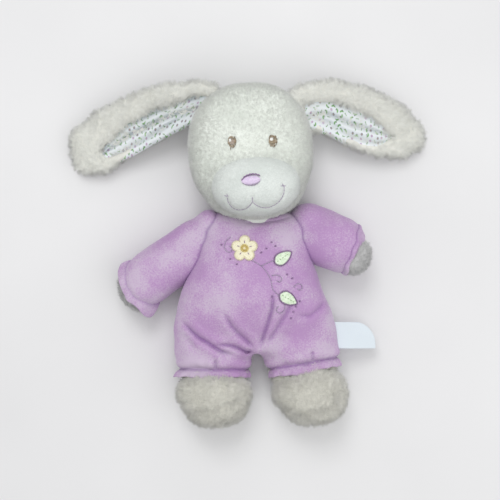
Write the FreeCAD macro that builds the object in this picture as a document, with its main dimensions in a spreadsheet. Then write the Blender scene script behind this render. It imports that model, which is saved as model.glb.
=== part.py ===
import FreeCAD, Part
import math
import os
import re
from types import SimpleNamespace

# A stuffed bunny lying on its back: one sewn plush toy in a velour romper.
# Millimetres. +X to the picture side of the right arm, +Y towards the head,
# +Z up from the surface that it lies on. The origin is on the flat back.
# Each limb has its own frame: it starts at the joint and runs along -Y.

doc = FreeCAD.newDocument("StuffedBunny")

SIZES = {
    # sewing
    "skin": 1.8,
    "gap": 0.6,
    "swing_margin": 2,
    "swing_reach": 130,
    # torso stations, from the neckline down to the seat
    "neck_at": -60,
    "neck_half": 25,
    "neck_thick": 16,
    "neck_rise": 26,
    "collar_at": -52,
    "collar_half": 38,
    "collar_thick": 22.5,
    "collar_rise": 25,
    "chest_at": -38,
    "chest_half": 45,
    "chest_thick": 28,
    "chest_rise": 25.5,
    "ribs_at": -20,
    "ribs_half": 51,
    "ribs_thick": 31,
    "ribs_rise": 27.5,
    "belly_at": 0,
    "belly_half": 57,
    "belly_thick": 32.5,
    "belly_rise": 28,
    "belly_side": -3,
    "hips_at": 20,
    "hips_half": 62.3,
    "hips_thick": 30,
    "hips_rise": 26,
    "seat_at": 43,
    "seat_half": 65.6,
    "seat_thick": 22,
    "seat_rise": 22,
    "side_seam": 24,
    # neck ball, under the chin
    "neck_ball": 20,
    "neck_y": 57,
    "neck_z": 28,
    "neck_up": 18,
    # head
    "head_x": -4.4,
    "head_y": 112,
    "head_z": 38,
    "head_half": 50,
    "head_tall": 53,
    "head_deep": 40,
    "head_roll": 3.5,
    "face_seam": 36,
    # muzzle and face
    "muzzle_y": 83,
    "muzzle_z": 62,
    "muzzle_half": 34.5,
    "muzzle_tall": 23,
    "muzzle_deep": 30,
    "nose_x": -3.3,
    "nose_y": 85.3,
    "nose_half": 7.4,
    "nose_tall": 4.3,
    "nose_deep": 3,
    "nose_turn": 9,
    "nose_sink": 1.6,
    "eye_left_x": -18.5,
    "eye_right_x": 12,
    "eye_y": 115,
    "eye_half": 3.1,
    "eye_tall": 4.3,
    "thread": 0.8,
    "mouth_curve": 10.6,
    "mouth_line": 1.6,
    "mouth_x": -2.7,
    "mouth_y": 76,
    "mouth_roll": 7,
    # ears
    "ear_left_x": -38,
    "ear_right_x": 31.5,
    "ear_left_y": 152.5,
    "ear_right_y": 150,
    "ear_z": 37,
    "ear_left_turn": -71.8,
    "ear_right_turn": 75.5,
    "ear_cap": 8,
    "ear_root": 17,
    "ear_len": 112,
    "ear_half": 24,
    "ear_thick": 8,
    "ear_droop": 29,
    "ear_bow": 9,
    "ear_up": 70,
    "ear_down": 20,
    # arms
    "arm_left_x": -42.5,
    "arm_left_y": 38,
    "arm_right_x": 44,
    "arm_right_y": 44,
    "arm_z": 22,
    "arm_left_turn": -55.9,
    "arm_right_turn": 70,
    "arm_left_tilt": 0,
    "arm_right_tilt": 20,
    "arm_ball": 21,
    "arm_half": 20.8,
    "arm_thick": 18.5,
    "arm_end_half": 19.6,
    "arm_end_thick": 17,
    "arm_left_len": 72,
    "arm_right_len": 41,
    "arm_up": 60,
    "arm_down": 15,
    "arm_cuff": 10,
    "cuff_proud": 2,
    "hand_half": 16,
    "hand_long": 14,
    "hand_sink": 8,
    # legs
    "leg_left_x": -34.5,
    "leg_right_x": 35,
    "leg_y": -46,
    "leg_z": 22,
    "leg_left_turn": 0,
    "leg_right_turn": 10,
    "leg_cap": 21,
    "leg_half": 30.4,
    "leg_thick": 20.4,
    "leg_end_half": 27.5,
    "leg_end_thick": 18.5,
    "leg_len": 32,
    "leg_up": 60,
    "leg_down": 10,
    "leg_cuff_at": 15,
    "leg_cuff": 8,
    # feet
    "foot_at": 44,
    "foot_rise": 5,
    "foot_half": 30.5,
    "foot_long": 21.5,
    "foot_tall": 30,
    "sole_at": 57,
    # chest decoration
    "patch": 0.8,
    "flower_x": -9,
    "flower_y": 33,
    "petal": 4.2,
    "petal_ring": 6,
    "flower_eye": 3.6,
    "leaf_half": 8,
    "leaf_tall": 4.6,
    "leaf_upper_x": 21,
    "leaf_upper_y": 26,
    "leaf_upper_turn": 35,
    "leaf_lower_x": 25,
    "leaf_lower_y": -6,
    "leaf_lower_turn": -30,
    "stem_x": -1,
    "stem_y": 6,
    "stem_curve": 13,
    "stem_line": 1.4,
    # side label
    "label_x": 66.3,
    "label_y": -47,
    "label_long": 32,
    "label_wide": 21.6,
    "label_thin": 0.6,
    "label_corner": 12,
    "label_droop": 12,
}

sheet = doc.addObject("Spreadsheet::Sheet", "Sizes")
for row, (name, value) in enumerate(SIZES.items(), start=1):
    sheet.set(f"A{row}", name)
    sheet.set(f"B{row}", str(value))
    sheet.setAlias(f"B{row}", name)
doc.recompute()
mm = SimpleNamespace(**{name: float(sheet.get(name)) for name in SIZES})
END_CUT = 15
FLAT = 1e-7

WORD = re.compile(r"[a-z][a-z_]*[a-z]")


def ex(text):
    """Spreadsheet expression for a size or a sum of sizes."""
    return WORD.sub(lambda m: ("Sizes." if m[0] in SIZES else "") + m[0], str(text))


def at(x=0, y=0, z=0):
    """Placement expression: a shift."""
    return f"placement(vector({ex(x)}; {ex(y)}; {ex(z)}); rotation(vector(0; 0; 1); 0))"


def turn(angle, axis="0; 0; 1"):
    """Placement expression: a turn about an axis through the origin."""
    return f"placement(vector(0; 0; 0); rotation(vector({axis}); {ex(angle)}))"


def tilt(angle):
    """Placement expression: lifts the limb's far end."""
    return turn(f"-({angle})", "1; 0; 0")


def make(kind, name, where=None, **sizes):
    """A primitive with its sizes and place bound to the sheet."""
    obj = doc.addObject(kind, name)
    for prop, text in sizes.items():
        obj.setExpression(prop, ex(text))
    if where:
        obj.setExpression("Placement", " * ".join(where))
    return obj


def box(name, where, x, y, z):
    return make("Part::Box", name, where, Length=x, Width=y, Height=z)


def stuffed(name, where, rings, sides=20):
    """Many-sided stuffed form through oval rings: (along, side, rise, half, thick)."""
    loops = []
    for along, side, rise, half, thick in rings:
        spots = [2 * math.pi * (step + 0.5) / sides for step in range(sides)]
        loops.append([FreeCAD.Vector(side + half * math.cos(spot), -along, rise + thick * math.sin(spot))
                      for spot in spots])
    outlines = [loops[0], loops[-1]]
    for near, far in zip(loops, loops[1:]):
        for step in range(sides):
            after = (step + 1) % sides
            corners = [near[step], near[after], far[after], far[step]]
            normal = (corners[1] - corners[0]).cross(corners[3] - corners[0]).normalize()
            if abs(normal.dot(corners[2] - corners[0])) < FLAT:
                outlines.append(corners)
            else:
                outlines += [corners[:3], [corners[0]] + corners[2:]]
    faces = [Part.Face(Part.makePolygon(outline + outline[:1])) for outline in outlines]
    obj = doc.addObject("Part::Feature", name)
    solid = Part.Solid(Part.Shell(faces))
    if solid.Volume < 0:
        solid.reverse()
    obj.Shape = solid
    obj.setExpression("Placement", " * ".join(where))
    return obj


def egg(name, where, half, tall, deep, bands=6, sides=20):
    """Many-sided egg: half its width, length and depth, along the frame's Y."""
    angles = [math.radians(END_CUT + (180 - 2 * END_CUT) * band / bands) for band in range(bands + 1)]
    reach = tall / math.cos(angles[0])
    rings = [(-reach * math.cos(a), 0, 0, half * math.sin(a), deep * math.sin(a)) for a in angles]
    return stuffed(name, where, rings, sides)


def barrel(name, where, radius, half, grow=0):
    """Round end of a limb, turning about the frame's X."""
    return egg(name, where + [turn(90)], radius + grow, half + grow, radius + grow, 4)


def cut(name, base, tool):
    obj = doc.addObject("Part::Cut", name)
    obj.Base = base
    obj.Tool = tool
    return obj


def carve(name, base, tools):
    """A shape with several rooms taken out, one after the other."""
    for number, tool in enumerate(tools):
        base = cut(f"{name}_{number}", base, tool)
    return base


def fuse(name, *shapes):
    obj = doc.addObject("Part::MultiFuse", name)
    obj.Shapes = list(shapes)
    return obj


def common(name, *shapes):
    obj = doc.addObject("Part::MultiCommon", name)
    obj.Shapes = list(shapes)
    return obj


def above(name, shape, height):
    """The part of a shape above a level."""
    span = "2 * swing_reach"
    room = box(f"{name}_room", [at("-swing_reach * 2", "-swing_reach * 2", height)],
               "swing_reach * 4", "swing_reach * 4", span)
    return common(name, shape, room)


def below(name, shape, height):
    """The part of a shape below a level."""
    span = "2 * swing_reach"
    room = box(f"{name}_room", [at("-swing_reach * 2", "-swing_reach * 2", f"{height} - {span}")],
               "swing_reach * 4", "swing_reach * 4", span)
    return common(name, shape, room)


def grown(rings, grow):
    """The same rings, larger all round."""
    return [(along, side, rise, half + grow, thick + grow) for along, side, rise, half, thick in rings]


def lined(rings):
    """The rings of what fills a cover: a skin smaller, and a skin shorter at both ends."""
    rings = grown(rings, -mm.skin)
    first, last = rings[0], rings[-1]
    rings[0] = (first[0] + mm.skin,) + first[1:]
    rings[-1] = (last[0] - mm.skin,) + last[1:]
    return rings


def swing_room(name, where, cap, half, up, down, grow=0):
    """Room for a limb's round end and for its swing, up and down."""
    wall = mm.gap + grow
    pieces = [barrel(f"{name}_cap", where, cap, half, wall)]
    swings = ((-down - mm.swing_margin, cap + wall), (0, mm.swing_reach / 2), (up + mm.swing_margin, cap + wall))
    for number, (angle, high) in enumerate(swings):
        spot = [tilt(angle), at(-half - wall, -mm.swing_reach, -high)]
        pieces.append(box(f"{name}_swing_{number}", where + spot, 2 * (half + wall), mm.swing_reach + grow, 2 * high))
    return fuse(name, *pieces)


NODES = []


def node(shape, label):
    """Marks a finished piece."""
    shape.Label = label
    NODES.append(shape)
    return shape


# ---- limb frames and torso rings -------------------------------------------
SIDES = ("left", "right")
ARM = {s: [at(f"arm_{s}_x", f"arm_{s}_y", "arm_z"), turn(f"arm_{s}_turn"), tilt(f"arm_{s}_tilt")]
       for s in SIDES}
LEG = {s: [at(f"leg_{s}_x", "leg_y", "leg_z"), turn(f"leg_{s}_turn")] for s in SIDES}
EAR = {s: [at(f"ear_{s}_x", f"ear_{s}_y", "ear_z"), turn(f"ear_{s}_turn")] for s in SIDES}
NECK = [at(0, "neck_y", "neck_z")]
HEAD = [at("head_x", "head_y", "head_z"), turn("head_roll")]
MUZZLE = [at(0, "muzzle_y", "muzzle_z")]

TORSO = [
    (mm.neck_at, 0, mm.neck_rise, mm.neck_half, mm.neck_thick),
    (mm.collar_at, 0, mm.collar_rise, mm.collar_half, mm.collar_thick),
    (mm.chest_at, 0, mm.chest_rise, mm.chest_half, mm.chest_thick),
    (mm.ribs_at, mm.belly_side / 2, mm.ribs_rise, mm.ribs_half, mm.ribs_thick),
    (mm.belly_at, mm.belly_side, mm.belly_rise, mm.belly_half, mm.belly_thick),
    (mm.hips_at, mm.belly_side / 3, mm.hips_rise, mm.hips_half, mm.hips_thick),
    (mm.seat_at, 0, mm.seat_rise, mm.seat_half, mm.seat_thick),
]
TORSO_SIDES = 22


def torso_rooms(tag, grow=0):
    """What the head, arms and legs need out of the torso."""
    rooms = [head_form(f"{tag}_chin_{number}", mm.gap + grow, nod) for number, nod in enumerate((0, mm.neck_up))]
    for s in SIDES:
        rooms.append(swing_room(f"{tag}_arm_{s}", ARM[s], mm.arm_ball, mm.arm_ball, mm.arm_up, mm.arm_down, grow))
        rooms.append(swing_room(f"{tag}_leg_{s}", LEG[s], mm.leg_cap, mm.leg_half, mm.leg_up, mm.leg_down, grow))
    return rooms


def head_rooms(tag, grow=0):
    """What the neck and the ears need out of the head."""
    rooms = [barrel(f"{tag}_neck", NECK, mm.neck_ball, mm.neck_ball, mm.gap + grow)]
    for s in SIDES:
        rooms.append(swing_room(f"{tag}_ear_{s}", EAR[s], mm.ear_cap, mm.ear_root, mm.ear_up, mm.ear_down, grow))
    return rooms


def head_form(name, grow=0, nod=0):
    """The head's egg, also as it stands when the neck has bent."""
    bent = [at(0, "neck_y", "neck_z"), tilt(f"-({nod})"), at(0, "-neck_y", "-neck_z")] if nod else []
    return egg(name, bent + HEAD, mm.head_half + grow, mm.head_tall + grow, mm.head_deep + grow, 9, 22)


# ---- torso: romper front, romper back, filling, neck -----------------------
torso_form = stuffed("torso_form", [at()], TORSO, TORSO_SIDES)
torso_core = stuffed("torso_core", [at()], lined(TORSO), TORSO_SIDES)
torso_whole = carve("torso_whole", above("torso_flat", torso_form, 0), torso_rooms("limb_room"))
torso_filling = carve("torso_stuffing", above("torso_core_flat", torso_core, "skin"),
                      torso_rooms("limb_wall", mm.skin))
romper = cut("romper", torso_whole, torso_filling)
node(above("romper_upper", romper, "side_seam"), "romper_front")
node(below("romper_lower", romper, "side_seam"), "romper_back")
node(torso_filling, "torso_filling")
neck_ball = barrel("neck_ball_form", NECK, mm.neck_ball, mm.neck_ball)
node(cut("neck_stub", neck_ball, torso_form), "neck")


# ---- head: front, back, filling --------------------------------------------
head_outer = head_form("head_outer")
head_whole = carve("head_whole", above("head_flat", head_outer, 0), head_rooms("head_room"))
head_filling = carve("head_stuffing", above("head_core", head_form("head_inner", -mm.skin), "skin"),
                     head_rooms("head_wall", mm.skin))
head_shell = cut("head_shell", head_whole, head_filling)
node(above("head_upper", head_shell, "face_seam"), "head_front")
node(below("head_lower", head_shell, "face_seam"), "head_back")
node(head_filling, "head_filling")


# ---- muzzle, nose, mouth, eyes ---------------------------------------------
def muzzle_form(name, grow=0):
    return egg(name, MUZZLE, mm.muzzle_half + grow, mm.muzzle_tall + grow, mm.muzzle_deep + grow, 6)


def arc_wall(name, where, radius, line, angle):
    """Upright arc-shaped wall, as wide as a line of stitches."""
    outer = make("Part::Cylinder", f"{name}_outer", where, Radius=f"{radius} + {line} / 2",
                 Height="swing_reach", Angle=angle)
    inner = make("Part::Cylinder", f"{name}_inner", where, Radius=f"{radius} - {line} / 2",
                 Height="swing_reach")
    return cut(name, outer, inner)


def oval_post(name, where, half, tall):
    """Upright oval post."""
    rim = make("Part::Ellipse", f"{name}_rim", where + [turn(90)], MajorRadius=tall, MinorRadius=half)
    obj = doc.addObject("Part::Extrusion", name)
    obj.Base = rim
    obj.DirMode = "Custom"
    obj.Dir = (0, 0, 1)
    obj.Solid = True
    obj.setExpression("LengthFwd", ex("swing_reach"))
    return obj


def patch(name, label, post, top, under):
    """Flat sewn piece: the part of a post between two levels of a form."""
    return node(cut(f"{name}_patch", common(f"{name}_dome", post, top), under), label)


muzzle_outer = muzzle_form("muzzle_outer")
muzzle_pad = cut("muzzle_pad", muzzle_form("muzzle_inner", -mm.skin), head_outer)
muzzle_whole = cut("muzzle_whole", muzzle_outer, head_outer)
node(cut("muzzle_cover", muzzle_whole, muzzle_pad), "muzzle")
node(muzzle_pad, "muzzle_filling")

muzzle_tip = mm.muzzle_z + mm.muzzle_deep
nose_spot = [at("nose_x", "nose_y", muzzle_tip - mm.nose_sink), turn("nose_turn - 90")]
nose_form = egg("nose_form", nose_spot, mm.nose_tall, mm.nose_half, mm.nose_deep, 4, 12)
node(cut("nose_pad", nose_form, muzzle_outer), "nose")

smiles = []
for side, way in (("left", -1), ("right", 1)):
    spot = [at("mouth_x", "mouth_y", "muzzle_z"), turn("mouth_roll"), at(f"{way} * mouth_curve", 0, 0), turn(180)]
    smiles.append(arc_wall(f"smile_{side}", spot, "mouth_curve", "mouth_line", "180"))
patch("mouth", "mouth", fuse("smile", *smiles), muzzle_form("muzzle_thread", mm.thread), muzzle_outer)
head_thread = head_form("head_thread", mm.thread)
for side in SIDES:
    post = oval_post(f"eye_{side}_post", [at(f"eye_{side}_x", "eye_y", "head_z")], "eye_half", "eye_tall")
    patch(f"eye_{side}_stitches", f"eye_{side}", post, head_thread, head_outer)

# ---- ears: plush back, printed lining --------------------------------------
# Shares of the ear's length, bow, droop, half width and thickness.
EAR_RINGS = [(0, 0, 0, 0.68, 1), (0.17, -0.35, 0.16, 0.78, 1), (0.45, -0.2, 0.5, 0.98, 1), (0.65, 0.25, 0.72, 1, 1),
             (0.84, 0.75, 0.9, 1, 1), (0.96, 1, 0.98, 0.86, 0.9), (1.03, 1.05, 0.99, 0.55, 0.7),
             (1.06, 1.05, 1, 0.2, 0.3)]
LINING_RINGS = [(0.1, -0.1, 0.1, 0.5, 0.35), (0.3, -0.05, 0.34, 0.7, 0.38), (0.5, 0.1, 0.56, 0.74, 0.38),
                (0.68, 0.5, 0.75, 0.7, 0.38), (0.78, 0.75, 0.84, 0.5, 0.35), (0.82, 0.85, 0.88, 0.2, 0.2)]


def ear_rings(shares, way, lift=0):
    return [(mm.ear_len * along, way * mm.ear_bow * bow, lift - mm.ear_droop * drop, mm.ear_half * half,
             mm.ear_thick * thick) for along, bow, drop, half, thick in shares]


for side, way in (("left", 1), ("right", -1)):
    cap = barrel(f"ear_{side}_cap", EAR[side], mm.ear_cap, mm.ear_root)
    blade = stuffed(f"ear_{side}_blade", EAR[side], ear_rings(EAR_RINGS, way))
    lining = stuffed(f"ear_{side}_inside", EAR[side], ear_rings(LINING_RINGS, way, mm.ear_thick * 0.7), 16)
    node(cut(f"ear_{side}_back", fuse(f"ear_{side}_form", cap, blade), lining), f"ear_{side}_plush")
    node(lining, f"ear_{side}_lining")

# ---- arms: sleeve, cuff, hand, filling -------------------------------------
for side in SIDES:
    where = ARM[side]
    length = getattr(mm, f"arm_{side}_len")
    rings = [(0, 0, 0, mm.arm_ball * 0.97, mm.arm_thick), (length * 0.35, -0.8, -1, mm.arm_half, mm.arm_thick),
             (length * 0.7, -1, -1.5, mm.arm_half, mm.arm_thick), (length, 0, -1.5, mm.arm_end_half, mm.arm_end_thick)]
    arm = fuse(f"arm_{side}_form", barrel(f"arm_{side}_cap", where, mm.arm_ball, mm.arm_ball),
               stuffed(f"arm_{side}_tube", where, rings))
    core = fuse(f"arm_{side}_core", barrel(f"arm_{side}_cap_core", where, mm.arm_ball, mm.arm_ball, -mm.skin),
                stuffed(f"arm_{side}_tube_core", where, lined(rings)))
    node(cut(f"arm_{side}_sleeve", arm, core), f"sleeve_{side}")
    node(core, f"arm_filling_{side}")
    cuff_rings = [(length - mm.arm_cuff, -0.4, -1.5, mm.arm_half, mm.arm_thick),
                  (length - mm.arm_cuff / 2, -0.2, -1.5, mm.arm_half + 1, mm.arm_thick),
                  (length, 0, -1.5, mm.arm_end_half, mm.arm_end_thick)]
    cuff = stuffed(f"arm_{side}_cuff_form", where, grown(cuff_rings, mm.cuff_proud))
    node(cut(f"arm_{side}_cuff", cuff, arm), f"cuff_{side}")
    paw_spot = where + [at(0, mm.hand_sink - length, -1.5)]
    paw = egg(f"arm_{side}_paw", paw_spot, mm.hand_half, mm.hand_long, mm.arm_end_thick - 3)
    node(cut(f"arm_{side}_hand", paw, arm), f"hand_{side}")

# ---- legs: trouser leg, cuff, filling; feet: upper, sole, filling ----------
for side in SIDES:
    where = LEG[side]
    rings = [(0, 0, 0, mm.leg_half * 0.98, mm.leg_thick), (mm.leg_len * 0.45, 0, 0, mm.leg_half * 0.99, mm.leg_thick),
             (mm.leg_len, 0, 0, mm.leg_end_half, mm.leg_end_thick)]
    leg = fuse(f"leg_{side}_form", barrel(f"leg_{side}_cap", where, mm.leg_cap, mm.leg_half),
               stuffed(f"leg_{side}_tube", where, rings))
    core = fuse(f"leg_{side}_core", barrel(f"leg_{side}_cap_core", where, mm.leg_cap, mm.leg_half, -mm.skin),
                stuffed(f"leg_{side}_tube_core", where, lined(rings)))
    node(cut(f"leg_{side}_cover", leg, core), f"trouser_leg_{side}")
    node(core, f"leg_filling_{side}")

    foot_spot = where + [at(0, "-foot_at", "foot_rise")]
    foot_form = egg(f"foot_{side}_form", foot_spot, mm.foot_half, mm.foot_long, mm.foot_tall)
    foot_inner = egg(f"foot_{side}_inner", foot_spot, mm.foot_half - mm.skin, mm.foot_long - mm.skin,
                     mm.foot_tall - mm.skin)
    foot = above(f"foot_{side}_flat", foot_form, 0)
    foot_core = cut(f"foot_{side}_core", above(f"foot_{side}_inner_flat", foot_inner, "skin"), leg)
    foot_shell = cut(f"foot_{side}_shell", cut(f"foot_{side}_open", foot, leg), foot_core)
    sole_spot = where + [at("-foot_half * 2", "-sole_at - foot_long", "-leg_z * 2")]
    sole_room = box(f"foot_{side}_sole_room", sole_spot, "4 * foot_half", "foot_long", "4 * foot_tall")
    node(cut(f"foot_{side}_top", foot_shell, sole_room), f"foot_upper_{side}")
    node(common(f"foot_{side}_bottom", foot_shell, sole_room), f"foot_sole_{side}")
    node(foot_core, f"foot_filling_{side}")

    cuff_at = mm.leg_cuff_at
    cuff_rings = [(cuff_at, 0, 0, mm.leg_half - 1, mm.leg_thick - 0.4),
                  (cuff_at + mm.leg_cuff * 0.4, 0, 0, mm.leg_half, mm.leg_thick),
                  (cuff_at + mm.leg_cuff, 0, 0, mm.leg_half - 1, mm.leg_thick - 0.8)]
    cuff = stuffed(f"leg_{side}_cuff_form", where, grown(cuff_rings, mm.cuff_proud * 0.7))
    node(cut(f"leg_{side}_cuff", cut(f"leg_{side}_cuff_ring", cuff, leg), foot), f"leg_cuff_{side}")

# ---- chest decoration: flower, its centre, two leaves, stem ----------------
patch_top = stuffed("patch_top", [at()], grown(TORSO, mm.patch), TORSO_SIDES)
centre_top = stuffed("centre_top", [at()], grown(TORSO, 2 * mm.patch), TORSO_SIDES)
FLOWER = [at("flower_x", "flower_y", "belly_rise")]
PETALS = 5
petals = []
for number in range(PETALS):
    spot = FLOWER + [turn(360 / PETALS * number), at(0, "petal_ring", 0)]
    petals.append(make("Part::Cylinder", f"petal_{number}", spot, Radius="petal", Height="swing_reach"))
middle = make("Part::Cylinder", "flower_middle", FLOWER, Radius="petal_ring", Height="swing_reach")
patch("flower", "flower_applique", fuse("flower_posts", middle, *petals), patch_top, torso_form)
button = make("Part::Cylinder", "flower_button", FLOWER, Radius="flower_eye", Height="swing_reach")
patch("flower_eye", "flower_centre", button, centre_top, patch_top)
for leaf in ("upper", "lower"):
    spot = [at(f"leaf_{leaf}_x", f"leaf_{leaf}_y", "belly_rise"), turn(f"leaf_{leaf}_turn - 90")]
    patch(f"leaf_{leaf}", f"leaf_{leaf}", oval_post(f"leaf_{leaf}_post", spot, "leaf_tall", "leaf_half"),
          patch_top, torso_form)
stem_spot = [at("stem_x", "stem_y", "belly_rise"), turn(10)]
patch("stem", "stem_stitching", arc_wall("stem_post", stem_spot, "stem_curve", "stem_line", "70"),
      patch_top, torso_form)

# ---- side label ------------------------------------------------------------
LABEL = [at("label_x", "label_y", "side_seam"), turn("label_droop", "0; 1; 0"), at(0, 0, "-label_thin / 2")]
tag_low = box("tag_low", LABEL, "label_long", "label_wide - label_corner", "label_thin")
tag_near = box("tag_near", LABEL, "label_long - label_corner", "label_wide", "label_thin")
corner = LABEL + [at("label_long - label_corner", "label_wide - label_corner", 0)]
tag_round = make("Part::Cylinder", "tag_round", corner, Radius="label_corner", Height="label_thin")
node(fuse("tag", tag_low, tag_near, tag_round), "side_label")

# ---- build and write -------------------------------------------------------
doc.recompute()
for obj in doc.Objects:
    if "Invalid" in obj.State or "Error" in obj.State:
        raise RuntimeError(f"{obj.Label}: {obj.State}")
os.makedirs("parts", exist_ok=True)
for piece in NODES:
    if piece.Shape.isNull() or not piece.Shape.isValid() or piece.Shape.Volume <= 0:
        raise RuntimeError(f"{piece.Label} has no valid solid")
    piece.Shape.exportStep(f"parts/{piece.Label}.step")
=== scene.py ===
"""Stuffed bunny rabbit: looks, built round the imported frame."""
import math
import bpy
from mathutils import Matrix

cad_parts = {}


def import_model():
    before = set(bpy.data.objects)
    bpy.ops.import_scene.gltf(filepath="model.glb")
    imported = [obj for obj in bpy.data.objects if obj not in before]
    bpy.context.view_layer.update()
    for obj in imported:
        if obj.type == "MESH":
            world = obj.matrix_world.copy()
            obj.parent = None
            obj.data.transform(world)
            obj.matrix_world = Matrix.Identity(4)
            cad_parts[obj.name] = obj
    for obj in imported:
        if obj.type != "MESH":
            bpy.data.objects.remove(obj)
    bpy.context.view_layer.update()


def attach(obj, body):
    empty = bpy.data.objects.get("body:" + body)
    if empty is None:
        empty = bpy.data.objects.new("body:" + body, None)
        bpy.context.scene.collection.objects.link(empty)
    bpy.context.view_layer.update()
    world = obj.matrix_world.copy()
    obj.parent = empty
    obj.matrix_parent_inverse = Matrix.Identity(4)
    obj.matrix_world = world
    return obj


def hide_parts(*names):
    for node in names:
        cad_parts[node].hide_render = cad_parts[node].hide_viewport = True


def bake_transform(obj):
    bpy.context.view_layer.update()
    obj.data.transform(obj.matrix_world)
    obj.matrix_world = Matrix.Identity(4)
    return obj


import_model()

from types import SimpleNamespace

import bpy
import numpy as np
from mathutils.bvhtree import BVHTree

MM = 0.001
rng = np.random.default_rng(7)
SIDES = ("left", "right")


# ---- frames, forms and fields (lengths in millimetres) ----
def turned(degrees):
    """Cosine and sine of an angle."""
    return math.cos(math.radians(degrees)), math.sin(math.radians(degrees))


def limb(x, y, z, turn=0.0, tilt=0.0):
    """A frame at a joint. The limb runs along its -Y, and tilt lifts the far end."""
    (c, s), (k, m) = turned(turn), turned(-tilt)
    flat = np.array([[c, -s, 0], [s, c, 0], [0, 0, 1]])
    lift = np.array([[1, 0, 0], [0, k, -m], [0, m, k]])
    return SimpleNamespace(o=np.array([x, y, z], float), r=flat @ lift)


def local(where, p):
    return (p - where.o) @ where.r


def world(where, q):
    return where.o + np.asarray(q, float) @ where.r.T


def along(where, p):
    """How far down a limb points lie."""
    return -local(where, p)[:, 1]


ARM = {"left": limb(-42.5, 38, 22, -55.9), "right": limb(44, 44, 22, 70, 20)}
LEG = {"left": limb(-34.5, -46, 22), "right": limb(35, -46, 22, 10)}
EAR = {"left": limb(-38, 152.5, 37, -71.8), "right": limb(31.5, 150, 37, 75.5)}
BODY = limb(0, 0, 0)
HEAD = limb(-4.4, 112, 38, 3.5)
ARM_LEN = {"left": 72, "right": 41}


def smin(a, b, k):
    """Smooth union of two fields."""
    h = np.clip(0.5 + 0.5 * (b - a) / k, 0, 1)
    return b * (1 - h) + a * h - k * h * (1 - h)


def smax(a, b, k):
    return -smin(-a, -b, k)


def bell(x, width=1.0):
    """A smooth bump, 1 at 0 and fading over the width."""
    return np.exp(-((x / width) ** 2))


def egg(p, where, semi, power=2.0):
    """Field of a superellipsoid."""
    q = local(where, p)
    k = (np.abs(q / semi) ** power).sum(1) ** (1 / power) + 1e-6
    return (1 - 1 / k) * np.linalg.norm(q, axis=1)


def moved(where, x=0, y=0, z=0):
    return SimpleNamespace(o=world(where, [x, y, z]), r=where.r)


def smooth_rows(rows, count=80):
    """Rows of numbers, made denser by a smooth curve over their first column."""
    rows = np.array(rows, float)
    s, v = rows[:, 0], rows[:, 1:]
    slope = np.gradient(v, s, axis=0)
    t = np.linspace(s[0], s[-1], count)
    i = np.clip(np.searchsorted(s, t, "right") - 1, 0, len(s) - 2)
    h = (s[i + 1] - s[i])[:, None]
    u = ((t - s[i]) / h[:, 0])[:, None]
    return t, (
        (2 * u**3 - 3 * u**2 + 1) * v[i]
        + (u**3 - 2 * u**2 + u) * h * slope[i]
        + (3 * u**2 - 2 * u**3) * v[i + 1]
        + (u**3 - u**2) * h * slope[i + 1]
    )


def loft(p, where, rows, power=2.0, ends=4.0):
    """Field of a form through oval rings: (along, side, rise, half, thick)."""
    q = local(where, p)
    s = -q[:, 1]
    t, v = smooth_rows(rows)
    side, rise, half, thick = (np.interp(s, t, v[:, i]) for i in range(4))
    x, z = q[:, 0] - side, q[:, 2] - rise
    k = (np.abs(x / half) ** power + np.abs(z / thick) ** power) ** (1 / power) + 1e-6
    d = (1 - 1 / k) * np.hypot(x, z)
    return smax(smax(d, t[0] - s, ends), s - t[-1], ends)


def to_line(p, line):
    """Distance from points to a polyline, in its own dimensions, and the share of it passed."""
    line = np.array(line, float)
    p = p[:, : line.shape[1]]
    best, share = np.full(len(p), 1e9), np.zeros(len(p))
    for i, (a, b) in enumerate(zip(line[:-1], line[1:])):
        d = b - a
        t = np.clip((p - a) @ d / (d @ d), 0, 1)
        found = np.linalg.norm(p - a - t[:, None] * d, axis=1)
        near = found < best
        best[near] = found[near]
        share[near] = (i + t[near]) / (len(line) - 1)
    return best, share


def wave(p, size, seed, count=7):
    """Smooth noise, about -1 to 1, with features of about that size."""
    r = np.random.default_rng(seed)
    total = np.zeros(len(p))
    for _ in range(count):
        d = r.normal(size=3)
        d *= 2 * math.pi / (size * 2 * r.uniform(0.7, 1.4) * np.linalg.norm(d))
        total += np.sin(p @ d + r.uniform(0, 6.28))
    return total / math.sqrt(count)


def slope_of(field, p, e=0.25):
    return np.stack([(field(p + d) - field(p - d)) / (2 * e) for d in np.eye(3) * e], 1)


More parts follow.
